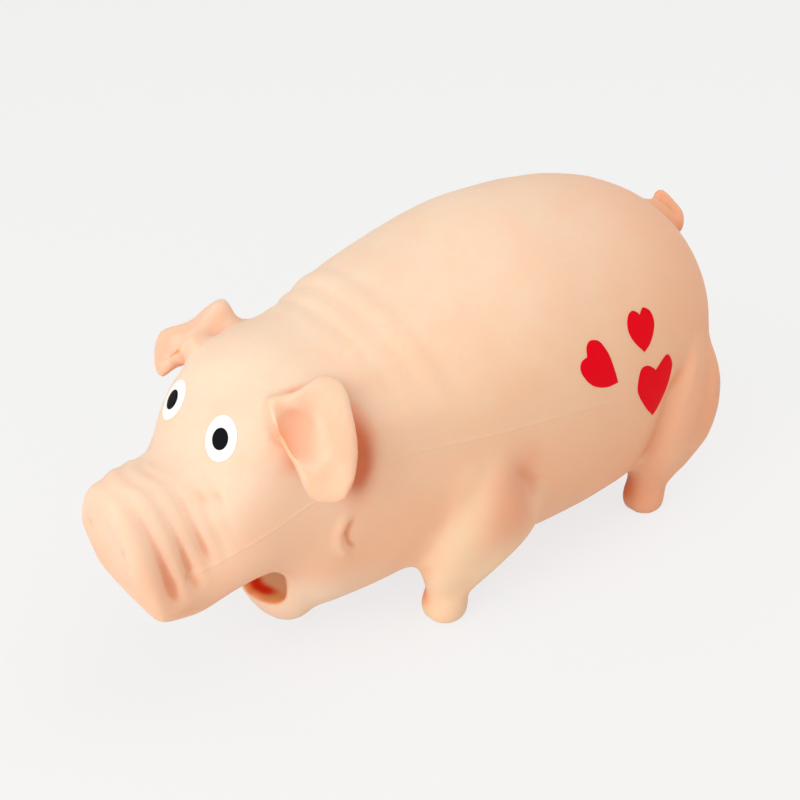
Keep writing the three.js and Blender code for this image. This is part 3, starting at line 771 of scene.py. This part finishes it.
class Shader:
    """The nodes of a material or a world, built by adding nodes and joining their sockets."""

    def __init__(self, owner, output="OutputMaterial"):
        self.owner = owner
        owner.use_nodes = True
        self.tree = owner.node_tree
        self.tree.nodes.clear()
        self.output = self.add(output)

    def add(self, kind, **settings):
        node = self.tree.nodes.new("ShaderNode" + kind)
        for name, value in settings.items():
            setattr(node, name, value)
        return node

    def feed(self, node, **inputs):
        """Sets or joins a node's inputs, named with _ for a space."""
        for name, value in inputs.items():
            self.put(node.inputs[name.replace("_", " ")], value)
        return node

    def put(self, socket, value):
        if isinstance(value, bpy.types.NodeSocket):
            self.tree.links.new(value, socket)
        else:
            socket.default_value = value

    def attribute(self, name, output="Fac"):
        return self.add("Attribute", attribute_name=name).outputs[output]

    def object_place(self):
        return self.add("TexCoord").outputs["Object"]

    def noise(self, place, scale, detail=3.0, roughness=0.55):
        texture = self.add("TexNoise")
        self.feed(texture, Vector=place, Scale=scale, Detail=detail, Roughness=roughness)
        return texture.outputs["Fac"]

    def math(self, operation, first, *others):
        """One operation on two or more values, taken in turn."""
        for other in others:
            node = self.add("Math", operation=operation)
            self.put(node.inputs[0], first)
            self.put(node.inputs[1], other)
            first = node.outputs[0]
        return first

    def product(self, *values):
        return self.math("MULTIPLY", *values)

    def spread(self, value, low, high, to_low=0.0, to_high=1.0):
        node = self.add("MapRange", interpolation_type="SMOOTHSTEP")
        self.feed(node, Value=value, From_Min=low, From_Max=high, To_Min=to_low, To_Max=to_high)
        return node.outputs["Result"]

    def mix(self, share, a, b):
        node = self.add("Mix", data_type="RGBA")
        for socket, value in ((node.inputs[0], share), (node.inputs[6], a), (node.inputs[7], b)):
            self.put(socket, value)
        return node.outputs[2]

    def bump(self, height, strength, distance):
        node = self.add("Bump")
        self.feed(node, Height=height, Strength=strength, Distance=distance)
        return node.outputs["Normal"]

    def seen_directly(self):
        """1 for what the eye sees, also in a shine or through glass, and 0 for light on the toy."""
        path = self.add("LightPath").outputs
        rays = (path[f"Is {kind} Ray"] for kind in ("Camera", "Glossy", "Transmission"))
        return self.math("MAXIMUM", *rays)

    def show(self, node):
        self.tree.links.new(node.outputs[0], self.output.inputs["Surface"])
        return self.owner

    def show_mix(self, share, a, b):
        mixed = self.add("MixShader")
        for socket, value in zip(mixed.inputs, (share, a.outputs[0], b.outputs[0])):
            self.put(socket, value)
        return self.show(mixed)

    def surface(self, **inputs):
        return self.show(self.feed(self.add("BsdfPrincipled"), **inputs))


def material_shader(name):
    return Shader(bpy.data.materials.new(name))


def latex():
    """Pale latex, tinted one layer over the other by place along and up the toy and by its marks, some of
    which are painted shade, a painted highlight on the top and a painted glow in the mouth.
    """
    shader = material_shader("latex")
    rest = shader.attribute("rest", "Vector")
    place = shader.feed(shader.add("SeparateXYZ"), Vector=rest).outputs
    along, up = place["Y"], place["Z"]

    def marked(name, low, high, to_low=0.0, to_high=1.0):
        return shader.spread(shader.attribute(name), low, high, to_low, to_high)

    low = shader.spread(up, 35.0, 95.0, 0.6, 0.0)
    above_chin = shader.spread(up, 18.0, 42.0, 0.05, 1.0)
    off_limbs = marked("limb", 0.0, 1.0, 1.0, 0.25)
    front_leg = shader.product(shader.attribute("limb"), shader.spread(along, -5.0, 9.0, 0.6, 0.0))
    jaw = shader.product(
        shader.spread(up, 22.0, 40.0, 0.7, 0.0), shader.spread(along, -54.0, -42.0, 1.0, 0.0)
    )
    rear = shader.spread(along, 20.0, 115.0, 0.0, 0.9)
    foot = shader.spread(up, 10.0, 32.0, 0.2, 0.0)
    mottle = shader.spread(shader.noise(rest, 0.06, 4.0), 0.35, 0.7)
    off_ears = marked("ear", 0.0, 0.6, 1.0, 0.3)
    # The walls inside the mouth, lighter and warmer as a painted glow of light through the thin latex,
    # with a red band of painted shade
    inner = shader.mix(shader.attribute("lip"), MOUTH_PEACH, LIP_AMBER)
    inner = shader.mix(marked("throat", 0.1, 1.0), inner, THROAT_SHADE_RED)

    base = CREAM
    for share, tint in (
        (shader.spread(along, -90.0, 10.0), PINK),
        (shader.product(low, above_chin, off_limbs), DEEP_PINK),
        # Painted shade on the ears, deepest in the hollows of their faces
        (marked("ear", 0.0, 1.0, 0.0, 0.8), DEEP_PINK),
        (marked("tail", 0.0, 1.0, 0.0, 0.6), TAN),
        # Painted shade on faces turned away from the light
        (marked("away", 0.0, 1.0, 0.0, 0.75), SALMON),
        (front_leg, STRAW),
        (jaw, CREAM),
        # Painted shade on the backs of the legs
        (shader.product(shader.attribute("painted_leg_shade"), 0.75), DUSKY_PINK),
        # Painted shadow behind the ears
        (marked("painted_ear_shadow", 0.0, 0.8, 0.0, 0.95), EAR_SHADOW_BROWN),
        # Painted highlight, paler towards the top
        (shader.spread(up, 85.0, 118.0, 0.0, 0.6), CREAM),
        (rear, DEEP_PINK),
        (shader.product(foot, rear), ORANGE),
        (shader.product(mottle, 0.2), DEEP_PINK),
        # Painted shade in creases, except on the ears
        (shader.product(marked("crease", 0.1, 0.9, 0.0, 0.5), off_ears), ORANGE),
        # Painted shade in the toy's hollows, except on the ears
        (shader.product(marked("hollow", 0.1, 0.55, 0.0, 0.85), off_ears), APRICOT),
        # Painted glow and shade inside the mouth
        (marked("mouth", 0.05, 0.95), inner),
        (marked("flash", 0.3, 1.0, 0.0, 0.15), CREAM),
    ):
        base = shader.mix(share, base, tint)

    grain = shader.noise(rest, 1.1, 5.0, 0.6)
    return shader.surface(
        Base_Color=base,
        Roughness=shader.spread(shader.noise(rest, 0.3), 0.3, 0.7, 0.5, 0.6),
        Subsurface_Weight=0.6,
        Subsurface_Radius=(1.0, 0.5, 0.3),
        Subsurface_Scale=0.002,
        Specular_IOR_Level=0.12,
        Normal=shader.bump(grain, 0.12, 0.0004),
    )


def paint(name, shade):
    """Brushed paint, a little darker where it has worn."""
    shader = material_shader(name)
    wear = shader.noise(shader.object_place(), 900.0)
    darker = tuple(c * 0.8 for c in shade[:3]) + (1.0,)
    return shader.surface(
        Base_Color=shader.mix(shader.spread(wear, 0.35, 0.75, 0.0, 0.2), shade, darker),
        Roughness=shader.spread(wear, 0.3, 0.7, 0.5, 0.6),
        Specular_IOR_Level=0.05,
        Normal=shader.bump(wear, 0.1, 0.0002),
    )


def plastic(name, shade, roughness):
    """Moulded plastic with a fine grain and paler clouds."""
    shader = material_shader(name)
    place = shader.object_place()
    grain = shader.noise(place, 1500.0, 2.0)
    cloud = shader.spread(shader.noise(place, 60.0, 2.0), 0.3, 0.7, 0.0, 0.3)
    paler = tuple(c + (1 - c) * 0.15 for c in shade[:3]) + (1.0,)
    return shader.surface(
        Base_Color=shader.mix(cloud, shade, paler),
        Roughness=shader.spread(grain, 0.3, 0.7, roughness, roughness + 0.12),
        Normal=shader.bump(grain, 0.15, 0.0002),
    )


def fleece():
    shader = material_shader("fleece")
    tuft = shader.noise(shader.object_place(), 260.0, 6.0, 0.7)
    return shader.surface(
        Base_Color=shader.mix(shader.spread(tuft, 0.3, 0.7), colour(214, 208, 196), colour(247, 244, 236)),
        Roughness=0.95,
        Sheen_Weight=0.4,
        Subsurface_Weight=0.3,
        Subsurface_Scale=0.002,
        Normal=shader.bump(tuft, 0.6, 0.0015),
    )


def with_material(made, material):
    made.data.materials.clear()
    made.data.materials.append(material)
    return made


def oval(width, height, lean):
    turns = np.linspace(0, 2 * math.pi, FILM_TURNS, endpoint=False)
    across, up = width / 2 * np.cos(turns), height / 2 * np.sin(turns)
    tilt = math.radians(lean)
    return np.stack((
        across * math.cos(tilt) - up * math.sin(tilt),
        across * math.sin(tilt) + up * math.cos(tilt),
    ), 1)


def through(stops, count):
    """Points along a smooth curve through some stops, the last stop left out."""
    stops = np.array(stops, float)
    padded = np.concatenate((2 * stops[:1] - stops[1:2], stops, 2 * stops[-1:] - stops[-2:-1]))
    place = np.linspace(0, len(stops) - 1, count, endpoint=False)
    first = place.astype(int)
    t = (place - first)[:, None]
    a, b, c, d = (padded[first + k] for k in range(4))
    return b + t / 2 * (c - a + t * (2 * a - 5 * b + 4 * c - d + t * (3 * b - a - 3 * c + d)))


def heart(left, right):
    """A heart painted by hand: one stroke from the notch to the point, and one back."""
    half = FILM_TURNS // 2
    return np.concatenate((through(left, half), through(right, half)))


def film(tree, node, outline, lift):
    """A coat of paint on the skin where a CAD film lies, thinner towards its edge."""
    low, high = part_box(node)
    centre, out, _, _ = tree.find_nearest((low + high) / 2)
    across = Vector((0, 0, 1)).cross(out).normalized()
    up = out.cross(across)
    middle = outline.mean(axis=0)
    body = bmesh.new()

    def point(place, height):
        a, b = place * MM
        hit, normal, _, _ = tree.ray_cast(centre + across * a + up * b + out * FILM_PROBE, -out)
        return body.verts.new(hit + normal * height * MM)

    def ring(share, height):
        return [point(middle + (place - middle) * share, height) for place in outline]

    rings = [ring(share, lift + FILM_THICKNESS * (1 - share**8)) for share in FILM_RINGS]
    rings += [ring(share, FILM_SINK) for share in FILM_UNDERSIDE]
    turns = [(k, (k + 1) % FILM_TURNS) for k in range(FILM_TURNS)]
    for inner, outer in zip(rings, rings[1:]):
        for k, n in turns:
            body.faces.new((inner[k], outer[k], outer[n], inner[n]))
    top, bottom = rings[0], rings[-1][::-1]
    for loop, height in ((top, lift + FILM_THICKNESS), (bottom, FILM_SINK)):
        cap = point(middle, height)
        for k, n in turns:
            body.faces.new((cap, loop[k], loop[n]))
    bmesh.ops.recalc_face_normals(body, faces=body.faces)
    mesh = bpy.data.meshes.new(f"painted_{node}")
    body.to_mesh(mesh)
    body.free()
    mesh.shade_smooth()
    return new_object(mesh.name, mesh)


def wad(node):
    """A tufted wad of fleece inside the room that the CAD gives it."""
    name = f"wad_{node}"
    surface = Surface(remeshed(name, welded([node], 0), WAD_CELL))
    surface.points = surface.smooth(surface.points, 6)
    tufts = np.array([
        noise.fractal(Vector(p) * TUFT_FINENESS, 0.8, 2.0, 4, noise_basis="PERLIN_ORIGINAL")
        for p in surface.points
    ])
    surface.push(TUFT_HEIGHT * tufts - WAD_SHRINK)
    surface.store()
    surface.mesh.shade_smooth()
    return new_object(name, surface.mesh)


def bend_with_back(piece):
    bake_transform(piece)


def add_skin():
    skin = with_material(new_object("latex_skin", skin_surface()), latex())
    tree = tree_of(skin.data)
    bend_with_back(skin)
    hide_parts(*SKIN_NODES)
    return tree


def add_paint(tree):
    white = paint("white_paint", colour(252, 252, 250))
    black = paint("black_paint", colour(16, 15, 19))
    red = paint("red_paint", colour(240, 0, 27))
    for side, lean in (("left", EYE_LEAN), ("right", -EYE_LEAN)):
        for part, size, lift, material, slot in (
            ("white", EYE_WHITE, FILM_LIFT, white, "white_paint"),
            ("pupil", EYE_PUPIL, PUPIL_LIFT, black, "black_paint"),
        ):
            node = f"eye_{part}_{side}"
            piece = with_material(film(tree, node, oval(*size, lean), lift), material)
            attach(piece, "body")
            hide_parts(node)
    for node, strokes in HEARTS.items():
        piece = with_material(film(tree, node, heart(*strokes), FILM_LIFT), red)
        bend_with_back(piece)
        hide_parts(node)


def add_fleece():
    material = fleece()
    for node in FLEECE_NODES:
        piece = with_material(wad(node), material)
        if node == "fleece_head":
            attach(piece, "body")
        else:
            bend_with_back(piece)
        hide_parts(node)


def add_voice():
    """Dresses the CAD's grunter, and shows its bellows as a piece of its own that moves with the body."""
    hard = plastic("hard_plastic", colour(236, 232, 222), 0.3)
    soft = plastic("soft_plastic", colour(214, 196, 160), 0.45)
    film_plastic = plastic("reed_film", colour(206, 214, 190), 0.22)
    for node in VOICE_NODES:
        with_material(nodes[node], hard)
    with_material(nodes["voice_reed"], film_plastic)
    bellows = new_object("folding_bellows", nodes["voice_bellows"].data.copy())
    with_material(bellows, soft)
    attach(bellows, "body")
    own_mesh(bellows)
    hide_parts("voice_bellows")


def add_floor():
    mesh = bpy.data.meshes.new("floor")
    body = bmesh.new()
    bmesh.ops.create_circle(body, cap_ends=True, radius=FLOOR_RADIUS, segments=FLOOR_SIDES)
    body.to_mesh(mesh)
    body.free()
    shader = material_shader("studio_floor")
    seen = shader.seen_directly()
    matte = shader.feed(shader.add("BsdfDiffuse"), Color=shader.mix(seen, FLOOR_BOUNCE, FLOOR_SEEN))
    glow = shader.feed(shader.add("Emission"), Color=BACKDROP, Strength=1.0)
    material = shader.show_mix(shader.product(seen, FLOOR_GLOW), matte, glow)
    with_material(new_object("studio_floor", mesh), material)


def add_world():
    shader = Shader(bpy.data.worlds.new("studio"), "OutputWorld")
    lit = shader.feed(shader.add("Background"), Color=SKY_COLOUR, Strength=SKY_STRENGTH)
    shown = shader.feed(shader.add("Background"), Color=BACKDROP, Strength=1.0)
    bpy.context.scene.world = shader.show_mix(shader.seen_directly(), lit, shown)


def add_softbox(name, place, aim, size, power):
    light = bpy.data.lights.new(name, "AREA")
    light.shape = "RECTANGLE"
    light.size, light.size_y = size
    light.energy = power
    lamp = new_object(name, light)
    lamp.location = place
    lamp.rotation_euler = (Vector(aim) - Vector(place)).to_track_quat("-Z", "Y").to_euler()


def add_camera():
    azimuth, elevation = math.radians(CAMERA_AZIMUTH), math.radians(CAMERA_ELEVATION)
    away = Vector((
        math.sin(azimuth) * math.cos(elevation),
        -math.cos(azimuth) * math.cos(elevation),
        math.sin(elevation),
    ))
    data = bpy.data.cameras.new("camera")
    data.lens = CAMERA_LENS
    data.sensor_width = CAMERA_SENSOR
    data.clip_start = 0.01
    camera = new_object("camera", data)
    camera.location = CAMERA_TARGET + away * CAMERA_DISTANCE
    camera.rotation_euler = (-away).to_track_quat("-Z", "Y").to_euler()
    bpy.context.scene.camera = camera


add_paint(add_skin())
add_fleece()
add_voice()
add_floor()
add_world()
for softbox in SOFTBOXES:
    add_softbox(*softbox)
add_camera()
bpy.context.scene.view_settings.view_transform = "Standard"
